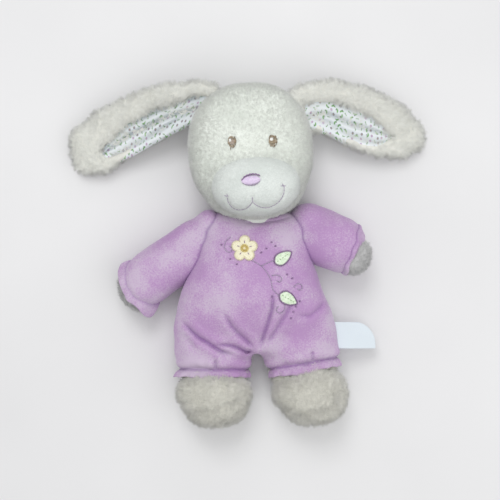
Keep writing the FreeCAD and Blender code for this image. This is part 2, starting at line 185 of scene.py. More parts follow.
def skin(field, low, high, step):
    """Surface of a field as points and quads: surface nets, then drawn onto the surface."""
    axes = [np.arange(a, b + step, step) for a, b in zip(low, high)]
    shape = [len(a) for a in axes]
    grid = np.stack(np.meshgrid(*axes, indexing="ij"), -1)
    f = field(grid.reshape(-1, 3)).reshape(shape)
    cells = [n - 1 for n in shape]
    total, count = np.zeros(cells + [3]), np.zeros(cells)
    edges = []
    for a in range(3):
        near, far = [slice(None)] * 3, [slice(None)] * 3
        near[a], far[a] = slice(0, -1), slice(1, None)
        f0, f1 = f[tuple(near)], f[tuple(far)]
        i = np.argwhere((f0 < 0) != (f1 < 0))
        b, c = [x for x in range(3) if x != a]
        i = i[np.all([(i[:, x] > 0) & (i[:, x] < shape[x] - 1) for x in (b, c)], 0)]
        v0, v1 = f0[tuple(i.T)], f1[tuple(i.T)]
        spot = grid[tuple(i.T)].copy()
        spot[:, a] += step * v0 / (v0 - v1)
        quad = []
        for db, dc in ((0, 0), (-1, 0), (-1, -1), (0, -1)):
            cell = i.copy()
            cell[:, b] += db
            cell[:, c] += dc
            np.add.at(total, tuple(cell.T), spot)
            np.add.at(count, tuple(cell.T), 1)
            quad.append(np.ravel_multi_index(tuple(cell.T), cells))
        quad = np.stack(quad, 1)
        flip = (v0 < 0) == (a == 1)
        quad[flip] = quad[flip][:, ::-1]
        edges.append(quad)
    used = np.flatnonzero(count.ravel())
    number = np.full(count.size, -1)
    number[used] = np.arange(len(used))
    points = (total.reshape(-1, 3)[used]) / count.ravel()[used][:, None]
    for _ in range(2):
        g = slope_of(field, points)
        points -= (field(points) / np.maximum((g * g).sum(1), 0.05))[:, None].clip(-2, 2) * g
    return points, number[np.concatenate(edges)]


# ---- making objects ----
def linked(name, data):
    """A new object in the scene."""
    ob = bpy.data.objects.new(name, data)
    bpy.context.scene.collection.objects.link(ob)
    return ob


def mesh_object(name, points, faces, material, smooth=True, normals=None):
    """A mesh object from points in millimetres."""
    me = bpy.data.meshes.new(name)
    faces = faces.tolist() if isinstance(faces, np.ndarray) else faces
    me.from_pydata((np.asarray(points) * MM).tolist(), [], faces)
    me.validate()
    if smooth:
        me.polygons.foreach_set("use_smooth", [True] * len(me.polygons))
    if normals is not None:
        me.normals_split_custom_set_from_vertices(normals.tolist())
    me.materials.append(material)
    return linked(name, me)


def grid_faces(nu, nv, closed=False):
    """Quads of a grid of points; closed joins its last rows to its first, both ways."""
    i, j = np.meshgrid(*(np.arange(n if closed else n - 1) for n in (nu, nv)), indexing="ij")
    i, j = i.ravel(), j.ravel()
    k, m = (i + 1) % nu, (j + 1) % nv
    return np.stack([i * nv + j, k * nv + j, k * nv + m, i * nv + m], 1)


def paint(ob, name, colours):
    """A colour on each point."""
    layer = ob.data.attributes.new(name, "FLOAT_COLOR", "POINT")
    full = np.ones((len(ob.data.vertices), 4), np.float32)
    full[:, :3] = colours
    layer.data.foreach_set("color", full.ravel())


def paint_crease_shade(ob, amount):
    """Paints shade on cloth in its creases and where parts meet, by 0 to 1 on each point."""
    amount = np.clip(amount, 0, 1)[:, None]
    paint(ob, "CreaseShade", 1 - amount * (1 - np.array([[0.52, 0.42, 0.62]])))


def cloth_map(ob, places, scale):
    """A map of the cloth's own length and width, so that its weave follows it."""
    layer = ob.data.uv_layers.new(name="Cloth")
    corner = np.empty(len(ob.data.loops), np.int32)
    ob.data.loops.foreach_get("vertex_index", corner)
    layer.data.foreach_set("uv", (places[corner] * scale).astype(np.float32).ravel())


def surface_of(points, faces):
    """A ray-casting tree of a surface, in millimetres."""
    return BVHTree.FromPolygons(points.tolist(), faces.tolist())


ABOVE = 150  # a height that clears the whole toy


def dropped(tree, xy):
    """Where points of the plan land on a surface from above, and the normals there."""
    spots, normals = [], []
    for x, y in xy:
        hit, normal, _, _ = tree.ray_cast((float(x), float(y), ABOVE), (0, 0, -1))
        spots.append(hit if hit is not None else (x, y, 0))
        normals.append(normal if hit is not None else (0, 0, 1))
    return np.array(spots, float), np.array(normals, float)


def bend(ob, where, near, far, *bodies):
    """Bakes a piece's transform into its mesh."""
    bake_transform(ob)


# ---- materials ----
def srgb(r, g, b):
    """Linear colour from 0-255 screen values."""
    c = np.array([r, g, b]) / 255
    return tuple(np.where(c <= 0.04045, c / 12.92, ((c + 0.055) / 1.055) ** 2.4).tolist()) + (1.0,)


def material(name, rough, **sockets):
    """A material, its node tree and its shader."""
    m = bpy.data.materials.new(name)
    m.use_nodes = True
    shader = m.node_tree.nodes["Principled BSDF"]
    for key, value in {"Roughness": rough, **sockets}.items():
        shader.inputs[key.replace("_", " ")].default_value = value
    return m, m.node_tree, shader


def node(tree, kind, inputs, out, **settings):
    """A node with its inputs set or linked. Returns one of its outputs."""
    n = tree.nodes.new("ShaderNode" + kind)
    for key, value in settings.items():
        setattr(n, key, value)
    for key, value in inputs.items():
        if isinstance(value, bpy.types.NodeSocket):
            tree.links.new(value, n.inputs[key])
        else:
            n.inputs[key].default_value = value
    return n.outputs[out]


def place_in(tree):
    return node(tree, "TexCoord", {}, "Object")


def painted(tree, name):
    return node(tree, "Attribute", {}, "Color", attribute_name=name)


def math_of(tree, a, b, operation):
    return node(tree, "Math", {0: a, 1: b}, 0, operation=operation)


def times(tree, a, b):
    return node(tree, "MixRGB", {0: 1.0, 1: a, 2: b}, 0, blend_type="MULTIPLY")


def noise(tree, place, scale, detail=2.0):
    return node(tree, "TexNoise", {"Vector": place, "Scale": scale, "Detail": detail}, "Fac")


def waves(tree, distortion, way):
    """Ridges across one way of the cloth's own map."""
    uv = node(tree, "UVMap", {}, "UV", uv_map="Cloth")
    return node(tree, "TexWave", {"Vector": uv, "Scale": 1.0, "Distortion": distortion}, "Fac",
                bands_direction=way, wave_profile="SIN")


def ramp(tree, fac, stops):
    colour = node(tree, "ValToRGB", {"Fac": fac}, "Color")
    elements = colour.node.color_ramp.elements
    for element, stop in zip(elements, (stops[0], stops[-1])):
        element.position, element.color = stop
    for place, middle in stops[1:-1]:
        elements.new(place).color = middle
    return colour


def looks(tree, shader, colour, *bumps):
    """Links a colour, and bumps in a row: (height, strength, distance in metres)."""
    tree.links.new(colour, shader.inputs["Base Color"])
    normal = {}
    for height, strength, distance in bumps:
        inputs = {"Height": height, "Strength": strength, "Distance": distance, **normal}
        normal = {"Normal": node(tree, "Bump", inputs, "Normal")}
    for socket in normal.values():
        tree.links.new(socket, shader.inputs["Normal"])


def cloth(name, shades, sheen, shaded=False):
    """Velour: short pile, brushed lighter and darker in patches, and with painted shade in its creases if shaded.
    """
    m, tree, shader = material(name, 0.95, Sheen_Weight=sheen, Sheen_Roughness=0.45, Specular_IOR_Level=0.15)
    dark, mid, light = (srgb(*shade) for shade in shades)
    place = place_in(tree)
    fine = noise(tree, place, 900, 3)
    wide = math_of(tree, noise(tree, place, 28, 4), 1.6, "MULTIPLY")
    level = math_of(tree, math_of(tree, wide, fine, "ADD"), 0.8, "SUBTRACT")
    colour = ramp(tree, level, [(0.3, dark), (0.5, mid), (0.7, light)])
    if shaded:
        shader.inputs["Sheen Tint"].default_value = (0.93, 0.85, 1.0, 1.0)
        # painted shade in the creases and where parts meet
        colour = times(tree, colour, painted(tree, "CreaseShade"))
    looks(tree, shader, colour, (noise(tree, place, 260, 3), 0.25, 0.0008), (fine, 0.5, 0.0004))
    return m


def pile(name):
    """Plush fibres, coloured from root to tip by their own points, with painted shade darkening the roots."""
    m, tree, shader = material(name, 0.95, Sheen_Weight=0.6, Sheen_Roughness=0.5, Specular_IOR_Level=0.1)
    colour = painted(tree, "Tint")
    soft = ramp(tree, noise(tree, place_in(tree), 60), [(0.3, (0.93, 0.93, 0.93, 1)), (0.7, (1, 1, 1, 1))])
    looks(tree, shader, times(tree, colour, soft))
    return m


def two_tone(name, rough, light, dark, grain, bumps, **sockets):
    """A finely mottled stuff. grain is a noise (scale, detail); bumps adds its strength and distance."""
    m, tree, shader = material(name, rough, **sockets)
    place = place_in(tree)
    colour = ramp(tree, noise(tree, place, *grain), [(0.35, srgb(*dark)), (0.65, srgb(*light))])
    looks(tree, shader, colour, (noise(tree, place, *bumps[:2]), *bumps[2:]))
    return m


def thread(name, light, dark):
    return two_tone(name, 0.45, light, dark, (900, 2), (5000, 2, 0.4, 0.0001),
                    Sheen_Weight=0.2, Specular_IOR_Level=0.4, Anisotropic=0.4)


def felt(name, light, dark, scale):
    return two_tone(name, 0.95, light, dark, (scale, 4), (scale, 3, 0.5, 0.0003),
                    Sheen_Weight=0.15, Specular_IOR_Level=0.15)


def printed_cotton():
    m, tree, shader = material("printed_cotton", 0.85, Sheen_Weight=0.1, Specular_IOR_Level=0.2)
    weave = math_of(tree, waves(tree, 0.3, "X"), waves(tree, 0.3, "Y"), "ADD")
    # the print, with painted shade multiplied in
    looks(tree, shader, painted(tree, "PrintAndShade"), (weave, 0.35, 0.0002))
    return m


def ribbon():
    m, tree, shader = material("satin_ribbon", 0.38, Sheen_Weight=0.15, Specular_IOR_Level=0.5, Anisotropic=0.5)
    ribs = waves(tree, 0.2, "Y")
    colour = ramp(tree, ribs, [(0.2, srgb(208, 218, 226)), (0.8, srgb(218, 227, 233))])
    looks(tree, shader, colour, (ribs, 0.15, 0.0001))
    return m


LILAC = cloth("lilac_velour", [(176, 141, 185), (186, 158, 193), (195, 178, 200)], 0.35, shaded=True)
HEAD_SKIN = cloth("head_backing", [(218, 223, 216), (226, 231, 224), (234, 238, 232)], 0.2)
MUZZLE_SKIN = cloth("muzzle_velour", [(208, 214, 210), (217, 222, 219), (224, 229, 225)], 0.25)
PLUSH_SKIN = cloth("plush_backing", [(213, 213, 206), (219, 219, 212), (226, 226, 219)], 0.2)
FOOT_SKIN = cloth("foot_backing", [(192, 191, 183), (201, 200, 192), (210, 209, 201)], 0.2)
# painted shade: the hands' backing is darker than the other white plush
HAND_SKIN_IN_SHADE = cloth("hand_backing", [(176, 176, 176), (184, 184, 184), (192, 192, 192)], 0.2)
HEAD_PILE = pile("head_pile")
LONG_PILE = pile("long_pile")
BROWN = thread("brown_thread", (170, 154, 130), (136, 120, 98))
TAUPE = thread("taupe_thread", (184, 170, 158), (158, 142, 128))
DARK_BROWN = thread("dark_brown_thread", (140, 120, 96), (108, 90, 70))
WHITE_THREAD = thread("white_thread", (244, 244, 240), (225, 225, 222))
PINK_LILAC = thread("pale_lilac_thread", (228, 214, 236), (212, 194, 222))
PLUM = thread("plum_thread", (150, 118, 160), (118, 88, 130))
MAUVE_THREAD = thread("mauve_thread", (176, 162, 184), (148, 134, 158))
CREAM_THREAD = thread("cream_thread", (240, 234, 206), (222, 214, 182))
GOLD_THREAD = thread("gold_thread", (224, 206, 136), (198, 176, 104))
SAGE_THREAD = thread("sage_thread", (150, 176, 132), (118, 146, 102))
CREAM_FELT = felt("cream_felt", (240, 236, 212), (222, 216, 186), 1400)
LEAF_CLOTH = felt("leaf_cloth", (226, 238, 218), (196, 216, 186), 700)
COTTON = printed_cotton()


# ---- forms of the toy ----
TORSO = [(-61, -1, 24, 31, 17), (-52, -1.5, 24.5, 39, 23), (-38, -1.8, 25.5, 44.5, 28.5), (-22, -2, 27.3, 48, 31.5),
    (-8, -2.5, 28, 53, 33), (4, -3, 28, 57.5, 33), (16, -2.2, 27, 61.5, 31.5), (30, -1.2, 24.5, 64, 28),
    (40, 0.2, 22.5, 64.3, 24), (50, 0.6, 22, 64.4, 21.5)]
LEGS = {
    "left": [(-22, 1.5, 1.5, 27.2, 22), (-8, 0.3, 1, 29.6, 22.5), (6, 0.4, 0.5, 30.3, 22),
        (12, 0.5, 0.3, 29.9, 21.2), (17, 0.4, 0.3, 28.8, 19.8), (21, 0, 0.3, 28, 19), (30, 0, 0.5, 26, 18)],
    "right": [(-22, -2, 1.5, 28.5, 22), (-8, -0.6, 1, 29.6, 22.5), (2, 0.4, 0.5, 30.2, 22), (8, 0.8, 0.3, 30, 21),
        (12.5, 0.8, 0.3, 29, 19.8), (17, 0.6, 0.3, 28.2, 19), (30, 0, 0.5, 26, 18)],
}
GATHER = {"left": 17, "right": 12.5}
# Folds of the cloth, in the plan: (points, depth, width, how dark the painted shade in its crease is).
FOLDS = [
    ([(-57.6, -25.5), (-50.5, -32.6), (-45.8, -36.6), (-37.9, -41.3), (-28.4, -47.6), (-19.8, -50.8)], 3, 1.7, 0.8),
    ([(-25, -18), (-19, -27.9), (-14.3, -33.4), (-8, -38.9), (-2.4, -45)], 2.4, 1.7, 0.55),
    ([(-31, -42.9), (-22.1, -42.9), (-15.2, -44.8), (-7.4, -48.8), (-3.2, -47.8)], 2.2, 1.5, 0.75),
    ([(3.1, -44.5), (6.2, -34.2), (9.4, -24.7), (12.5, -13.7), (13.3, -1.9)], 2.4, 1.6, 0.7),
    ([(9.4, -41.3), (13.3, -35), (18.8, -25.5), (23.6, -17.7), (29.1, -7.4)], 2, 1.8, 0.45),
    ([(33, -19.2), (42.5, -20), (50.4, -13.7), (54, -9)], 1.5, 1.8, 0.35),
    ([(-57, -34), (-52, -41), (-49, -46)], 1.2, 2.6, 0.1),
    ([(-32.3, -54.7), (-31.8, -62.5)], 1.6, 1.5, 0.5),
    ([(44.5, -47.8), (44.9, -56)], 1.6, 1.5, 0.5),
    ([(-8, 53.4), (5, 53.6), (17, 55.2), (28, 58.5)], 0.8, 1, 0.35),
]


def fold_share(p, line):
    """Distance to a fold, and how strong it is there."""
    gap, share = to_line(p, line)
    front = np.clip((p[:, 2] - 26) / 10, 0, 1)
    return gap, front * np.clip(np.minimum(share, 1 - share) * 5 + 0.2, 0, 1)


def fold_shade(p):
    """How dark the painted shade in the creases is, 0 to 1."""
    dark = np.zeros(len(p))
    for line, _, width, shade in FOLDS:
        gap, strong = fold_share(p, line)
        dark = np.maximum(dark, strong * shade * bell(gap, width * 0.75))
    return dark


def legs_field(p, side):
    return loft(p, LEG[side], LEGS[side], 2.15, 3)


def torso_field(p):
    return loft(p, BODY, TORSO, 2.2, 9)


def floor_cut(p, d, k=5.0, level=0.0):
    return smax(d, level - p[:, 2], k)


NECK_Y, NECK_Z = 57, 28
NOD = (-12, 18)  # the neck's limits, in degrees


def nodded(p, degrees):
    """Where p would be on the head before it nods that far about the neck."""
    c, s = turned(degrees)
    y, z = p[:, 1] - NECK_Y, p[:, 2] - NECK_Z
    return np.stack([p[:, 0], NECK_Y + c * y + s * z, NECK_Z - s * y + c * z], 1)


def romper_field(p):
    """Torso and both thighs in one cloth, with its folds."""
    d = torso_field(p)
    left, right = legs_field(p, "left"), legs_field(p, "right")
    d = smin(d, smin(left, right, 1.5), 7)
    d = smin(d, egg(p, limb(0, 50, 24), (44, 13, 23), 2.3), 9)
    d = smax(d, 0.8 - muzzle_field(nodded(p, NOD[1])), 3)  # room for the chin
    for line, depth, width, _ in FOLDS:
        gap, strong = fold_share(p, line)
        d = d + strong * depth * (bell(gap, width) - 0.4 * bell(gap - 3 * width, 1.8 * width))
    for side in SIDES:
        q = local(LEG[side], p)
        s, ring, gather = -q[:, 1], np.arctan2(q[:, 2], q[:, 0]), GATHER[side]
        only = (legs_field(p, side) < 6) & (s < gather + 6)
        pucker = np.sin(ring * 11 + 2 * np.sin(ring * 3 + 1)) * 0.45 * bell(s - gather + 3, 4)
        wander = gather + 0.8 * np.sin(2 * ring + 1) + 0.5 * np.sin(5 * ring)
        d = d + only * (pucker + 2.1 * bell(s - wander, 1.5) - 0.8 * bell(s - wander + 4.5, 2.6))
    d = d - 0.5 * wave(p, 22, 3) - 0.22 * wave(p, 8, 4)
    return floor_cut(p, d)


SLEEVES = {
    "left": [(-17, 0, 0, 13, 12), (-9, 0, 0, 19, 17.5), (0, 0, 0, 21.4, 19), (20, -0.5, -0.5, 21.3, 19),
        (40, -1, -1, 21, 18.8), (54, -0.4, -1, 20.6, 18.2), (62, 0, -1, 18.4, 16.6), (68, 0, -1, 14.4, 14),
        (72.5, 0, -1, 8, 9)],
    "right": [(-17, 3, 0, 14, 12), (-9, 3, 0, 20, 17.5), (0, 2.2, 0, 22.8, 19.5), (12, 1.2, 0, 23, 20),
        (24, 0.6, -0.5, 22.4, 19.5), (33, 0.4, -1, 20.6, 18.2), (39, 0.4, -1, 17, 16), (44, 0.4, -1, 10.5, 11)],
}
SHOULDER = {"left": (limb(-37, 53, 24), (11, 11.5, 17)), "right": (limb(39.5, 56, 24), (13, 13, 18))}


def sleeve_field(p, side):
    tube = loft(p, ARM[side], SLEEVES[side], 2.1, 2.5) - 0.5 * wave(p, 17, 8) - 0.2 * wave(p, 7, 9)
    d = smin(tube, egg(p, *SHOULDER[side], 2.1), 5)
    for degrees in NOD:  # room for the furry jaw
        d = smax(d, 2.6 - head_field(nodded(p, degrees)), 2.5)
    return d


def head_field(p):
    """Head with its cheeks, without the muzzle's own cloth."""
    d = egg(p, HEAD, (47.8, 50.8, 38.8), 2.3)
    jaw = egg(p, moved(HEAD, 1.5, -30, -2), (36.3, 25, 33), 2.2)
    return floor_cut(p, smin(d, jaw, 6), 4)


MUZZLE = limb(-0.5, 83, 60, 2)


def muzzle_field(p):
    return egg(p, MUZZLE, (34.5, 24.5, 31), 2.15)


MOUTH = {
    "left": [(-22, 71.8), (-21.8, 69.8), (-20.3, 66.8), (-17.3, 63.9), (-13.1, 62.7), (-8.6, 63.3), (-4.8, 65.8),
        (-2.9, 68.8)],
    "right": [(-3.1, 72), (-2.9, 68.8), (-0.6, 66.4), (3.1, 64.7), (8.4, 64.3), (13.4, 66.1), (17.1, 68.7),
        (20, 72.9), (21, 77), (20.8, 80.5)],
}


def muzzle_skin(p):
    """The muzzle with the shallow groove that its stitched mouth pulls in."""
    d = smax(muzzle_field(p), -head_field(p) - 4, 2)
    front = np.clip((p[:, 2] - 50) / 10, 0, 1)
    for line in list(MOUTH.values()) + [[(-3.2, 80), (-3.1, 72)]]:
        gap, _ = to_line(p, line)
        d = d + front * 0.55 * (bell(gap, 1.3) - 0.3 * bell(gap - 3.4, 1.6))
    return d


def head_skin(p):
    """Head cloth, rising softly to the edge of the muzzle's cloth."""
    return smin(head_field(p), muzzle_field(p) + 0.9, 8)


FEET = {
    "left": ((1, -36.8, 5), (28.2, 16.2, 26.8), (2.6, -48.6, 3.5), (22.8, 13.4, 24)),
    "right": ((1.4, -36.2, 5), (27.8, 17.2, 26.8), (4.6, -48.4, 3.5), (21.8, 13.4, 24)),
}
RIDGE = {"left": [(-16, -47), (2, -44), (17, -37)], "right": [(-12, -45), (4, -47), (16, -43)]}
NOTCH = {"left": [(-30, -44), (-24.5, -44.5)], "right": [(-27, -44), (-21.5, -44.5)]}


def foot_field(p, side):
    where, (high, high_size, low, low_size) = LEG[side], FEET[side]
    upper = egg(p, moved(where, *high), high_size, 2.2)
    toe = egg(p, moved(where, *low), low_size, 2.1)
    inner = egg(p, moved(where, 0, -19, 0.3), (25, 12, 17), 2.2)  # fills the end of the trouser leg
    d = smin(smin(upper, toe, 7), inner, 2) - 0.7 * wave(p, 13, 21) - 0.35 * wave(p, 6, 22)
    ridge, notch = (to_line(local(where, p)[:, :2], line[side])[0] for line in (RIDGE, NOTCH))
    d = d - 1.6 * (p[:, 2] > 20) * bell(ridge, 3.5) + 2.2 * bell(notch, 2.8)
    return floor_cut(p, d, 4)


HANDS = {"left": ((1.5, -66.5, -6), (16, 12.5, 10)), "right": ((-4, -38.5, -3), (14, 12.5, 13))}


def hand_field(p, side):
    spot, semi = HANDS[side]
    return floor_cut(p, egg(p, moved(ARM[side], *spot), semi, 2.2), 4)


# ---- ears ----
# The thick rolled rim: (x, y, radius) of its middle line, in the plan, from the root over the tip and back.
RIM = {
    "left": [(-34.9, 157.6, 7.2), (-48.4, 159.4, 7.4), (-66.9, 156.6, 8.4), (-86.4, 151.4, 10.4),
        (-107.7, 142.6, 11.6), (-122.8, 133.7, 13.2), (-136.5, 120.2, 14.9), (-136.6, 106.2, 13.8),
        (-122.6, 101.4, 8), (-106.1, 108.8, 4.4), (-86.4, 118.9, 3.6), (-66.9, 128.4, 3.2), (-50.8, 136, 3)],
    "right": [(30, 150.6, 8), (37.1, 155.4, 8.8), (49.1, 157.5, 9.6), (66.9, 157, 9.8), (82.4, 153.9, 10.8),
        (97.8, 147.4, 11.6), (113.6, 137.6, 13.8), (124, 124, 14.6), (116.5, 117, 11.2), (99.6, 112.8, 6),
        (83.2, 116.2, 4.4), (66.9, 123.4, 3.8), (49.1, 130, 3.4)],
}
# The printed lining's edges in the plan: beside the thick rim, and beside the thin one.
LINING = {
    "left": ([(-36, 157), (-44.4, 154.7), (-60.4, 150.4), (-76.6, 145.3), (-92.9, 138.5), (-105.2, 132.4),
        (-114.5, 123.5), (-122.4, 114.7), (-125.5, 109)],
        [(-44, 138), (-52.4, 134.8), (-66.1, 129), (-84.8, 120.2), (-101.1, 111.6), (-112.5, 105.5),
        (-122.4, 105.6)]),
    "right": ([(39, 147), (45.9, 150.1), (58.8, 151.3), (75, 146.2), (87.3, 141.7), (99.6, 134), (112, 123.5)],
        [(39, 130.8), (45.9, 131.6), (58.8, 127.6), (71, 122), (83.2, 117.6), (95.5, 115.8), (110.4, 120.6)]),
}
EAR_ROOT = {"left": [(-42, 127), (-26, 134), (-24, 152)], "right": [(38, 122), (20, 130), (20, 148)]}
FUR_DEPTH = 2.6


def ear_level(x, y, side):
    """Height of the middle of the ear's thickness over a place in the plan."""
    s = along(EAR[side], np.stack([x, y, np.full_like(x, 37)], 1)) / 112
    fall = np.interp(s, [-1, 0, 0.15, 0.45, 0.65, 0.84, 0.96, 1.2], [0, 0, 0.14, 0.5, 0.72, 0.9, 0.98, 1])
    return 38 - 29 * fall


def in_outline(p, outline):
    """Signed distance in the plan to a closed outline, negative inside."""
    gap, _ = to_line(p, list(outline) + [outline[0]])
    inside = np.zeros(len(p), bool)
    x, y = p[:, 0], p[:, 1]
    for (x0, y0), (x1, y1) in zip(outline, list(outline[1:]) + [outline[0]]):
        if y0 != y1:
            inside ^= ((y0 > y) != (y1 > y)) & (x < (x1 - x0) * (y - y0) / (y1 - y0) + x0)
    return np.where(inside, -gap, gap)


def ear_field(p, side):
    rim = np.array(RIM[side])
    gap, share = to_line(p, rim[:, :2])
    radius = np.interp(share * (len(rim) - 1), range(len(rim)), rim[:, 2]) - FUR_DEPTH * 0.8
    level = ear_level(p[:, 0], p[:, 1], side)
    flat = np.minimum(radius, 6.2)
    rise = (p[:, 2] - level - 0.8) * radius / flat
    roll = (np.hypot(gap, rise) - radius) * np.where(radius > flat, 0.8, 1)
    outline = in_outline(p, [(x, y) for x, y, _ in RIM[side]] + EAR_ROOT[side])
    blade = smax(outline, np.abs(p[:, 2] - level + 3.6) - 2.3, 2)
    return floor_cut(p, smin(roll, blade, 3.5) - 0.6 * wave(p, 16, 31), 3, 0.5)


# ---- pile ----
# For each coat: mm between tufts, length, width of a blade, spread of a tuft, blades in a tuft,
# how tufts lean (amount, size of a patch, seed), colours of root and tip (the darker root is painted shade deep in
# the pile), and how much tones vary.
COATS = {
    "head": (1.7, 2.7, 0.45, 1.3, 9, (0.9, 5, 40), (212, 216, 209), (232, 236, 229), 0.05),
    "muzzle": (1.3, 1.1, 0.4, 0.9, 5, (1.4, 6, 45), (208, 213, 209), (222, 227, 223), 0.03),
    "ear": (2.1, 5.0, 0.55, 1.7, 12, (1.2, 7, 50), (216, 217, 211), (237, 238, 232), 0.05),
    "foot": (2.1, 4.6, 0.55, 1.7, 12, (1.2, 7, 60), (198, 197, 189), (225, 224, 215), 0.05),
    # painted shade: the hands' coat is darker than the other white plush
    "hand": (2.0, 3.4, 0.5, 1.6, 12, (1.2, 6, 70), (180, 180, 180), (204, 204, 204), 0.05),
}
FUR_FLOOR = 0.8  # plush has its roots above this height only
TABLE_GAP = 0.3  # how near the table plush and hems may come
HEAD_SEAM = 36  # height of the seam round the head


def unit(v):
    return v / np.maximum(np.linalg.norm(v, axis=-1, keepdims=True), 1e-9)


def scattered(points, faces, spacing, keep):
    """Evenly spread spots on the part of a surface that keep picks."""
    tri = np.concatenate([faces[:, [0, 1, 2]], faces[:, [0, 2, 3]]])
    a, b, c = (points[tri[:, i]] for i in range(3))
    area = np.linalg.norm(np.cross(b - a, c - a), axis=1) / 2
    count = int(area.sum() / spacing**2 * 3)
    pick = rng.choice(len(tri), count, p=area / area.sum())
    u, v = rng.random((2, count))
    over = u + v > 1
    u[over], v[over] = 1 - u[over], 1 - v[over]
    spots = a[pick] + u[:, None] * (b - a)[pick] + v[:, None] * (c - a)[pick]
    spots = spots[keep(spots)]
    _, first = np.unique(np.floor(spots / spacing).astype(int), axis=0, return_index=True)
    return spots[np.sort(first)]


def fur(name, coat, field, surface, keep, mat):
    """Tufts of fine closed blades with a broad upper face."""
    spacing, length, width, spread, count, (amount, size, seed), root, tip, vary = COATS[coat]
    spots = scattered(*surface, spacing, keep)
    normals = unit(slope_of(field, spots))
    n = len(spots)
    lie = 0.7 * np.stack([wave(spots, size, seed + i) for i in range(3)], 1) + 0.8 * rng.normal(size=(n, 3))
    lie -= (lie * normals).sum(1)[:, None] * normals
    lean = (unit(lie) * 0.75 * amount * rng.uniform(0.5, 1.3, (n, 1)))[:, None]
    side = unit(np.cross(normals, lean[:, 0] + 1e-3 * rng.normal(size=(n, 3))))
    other = np.cross(side, normals)
    tall = length * rng.uniform(0.75, 1.2, n)
    r = spread * np.sqrt(rng.random((n, count)))[..., None]
    a = rng.uniform(0, 2 * math.pi, (n, count))[..., None]
    base = spots[:, None] + r * (np.cos(a) * side[:, None] + np.sin(a) * other[:, None])
    up = normals[:, None]
    way = unit(up + lean + rng.normal(size=(n, count, 3)) * 0.35)
    grow = (tall[:, None] * rng.uniform(0.7, 1.15, (n, count)))[..., None]
    meet = spots[:, None] + unit(up + 1.2 * lean) * tall[:, None, None]
    end = (base + way * grow) * 0.7 + meet * 0.3
    across = unit(np.cross(way, up + rng.normal(size=(n, count, 3)) * 0.3))
    third = np.cross(across, way)
    thick = (width * rng.uniform(0.7, 1.3, (n, count)))[..., None] / 2
    low = base - up * 0.5
    points = np.stack([low + thick * across, low - thick * third, low - thick * across, end], 2)
    z = points[..., 2]
    points[..., 2] = np.where(z < 0.6, TABLE_GAP + 0.3 * np.exp(np.minimum(z - 0.6, 0)), z)  # pressed flat
    start = (np.arange(n * count) * 4)[:, None]
    faces = np.concatenate([start + [[i, (i + 1) % 3, 3]] for i in range(3)])
    glow = unit(up * 0.9 + 0.1 * way + rng.normal(size=(n, count, 3)) * 0.05)
    facing = unit(np.stack([glow + 0.5 * across, 0.3 * glow - third, glow - 0.5 * across, glow], 2))
    ob = mesh_object(name, points.reshape(-1, 3), faces, mat, normals=facing.reshape(-1, 3))
    # painted shade: each blade darker at its root than at its tip; tones also vary at random
    tone = 1 + vary * rng.normal(size=(n, 1)) + vary * 0.6 * rng.normal(size=(n, count))
    ends = np.array([[0], [0], [0], [1.0]])
    colour = np.array(srgb(*root)[:3]) * (1 - ends) + np.array(srgb(*tip)[:3]) * ends
    paint(ob, "Tint", (colour * tone[..., None, None]).reshape(-1, 3).clip(0, 1))
    ob.visible_shadow = False
    return ob


# ---- base surfaces ----
def soft_mesh(name, points, faces, mat, fill, slot, nodes, normals=None):
    """A stuffed piece that stands for these nodes."""
    ob = mesh_object(name, points, faces, mat, normals=normals)
    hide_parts(*nodes)
    return ob


def soft_piece(name, field, low, high, step, mat, fill, slot, *nodes):
    """A stuffed piece from a field, and its surface."""
    surface = skin(field, low, high, step)
    return soft_mesh(name, *surface, mat, fill, slot, nodes), surface


def compact(points, faces, *more):
    """Only the points that the faces use."""
    used = np.unique(faces)
    number = np.full(len(points), -1)
    number[used] = np.arange(len(used))
    return (points[used], number[faces]) + tuple(m[used] for m in more)


LEG_START, LEG_END = 1.0, 30.0  # the stretch of a leg, from where its own cloth starts
romper, romper_faces = skin(romper_field, (-76, -84, -6), (78, 72, 70), 1.15)
# painted shade on the romper: in its folds and under the head
dark = np.maximum(fold_shade(romper), 0.5 * bell(head_field(romper).clip(0), 2.2))
middle = romper[romper_faces].mean(1)
part_of = np.zeros(len(romper_faces), int)
for number, side in enumerate(SIDES, 1):
    # more painted shade at the leg's gather and round the armhole
    gathered = 0.75 * bell(along(LEG[side], romper) - GATHER[side], 1.3)
    dark = np.maximum(dark, (legs_field(romper, side) < 4) * gathered)
    dark = np.maximum(dark, 0.6 * bell(sleeve_field(romper, side), 1.1))
    past = along(LEG[side], middle)
    here = middle[:, 0] < 0.5 if side == "left" else middle[:, 0] >= 0.5
    part_of[(past > LEG_START) & here] = number
    part_of[(past > GATHER[side] + 4.5) & here] = -1
torso_tree = surface_of(romper, romper_faces)
cloths = [("romper_body", 0.75, ("romper_front", "romper_back", "torso_filling"))]
cloths += [(f"trouser_leg_{side}_cloth", 0.7, (f"trouser_leg_{side}", f"leg_filling_{side}")) for side in SIDES]
romper_normals = unit(slope_of(romper_field, romper))
for number, (name, fill, nodes) in enumerate(cloths):
    points, faces, normals, shade = compact(romper, romper_faces[part_of == number], romper_normals, dark)
    ob = soft_mesh(name, points, faces, LILAC, fill, "lilac_velour", nodes, normals)
    paint_crease_shade(ob, shade)
    if number:
        side = SIDES[number - 1]
        bend(ob, LEG[side], LEG_START, LEG_END, "torso", f"leg_{side}")
    else:
        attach(ob, "torso")

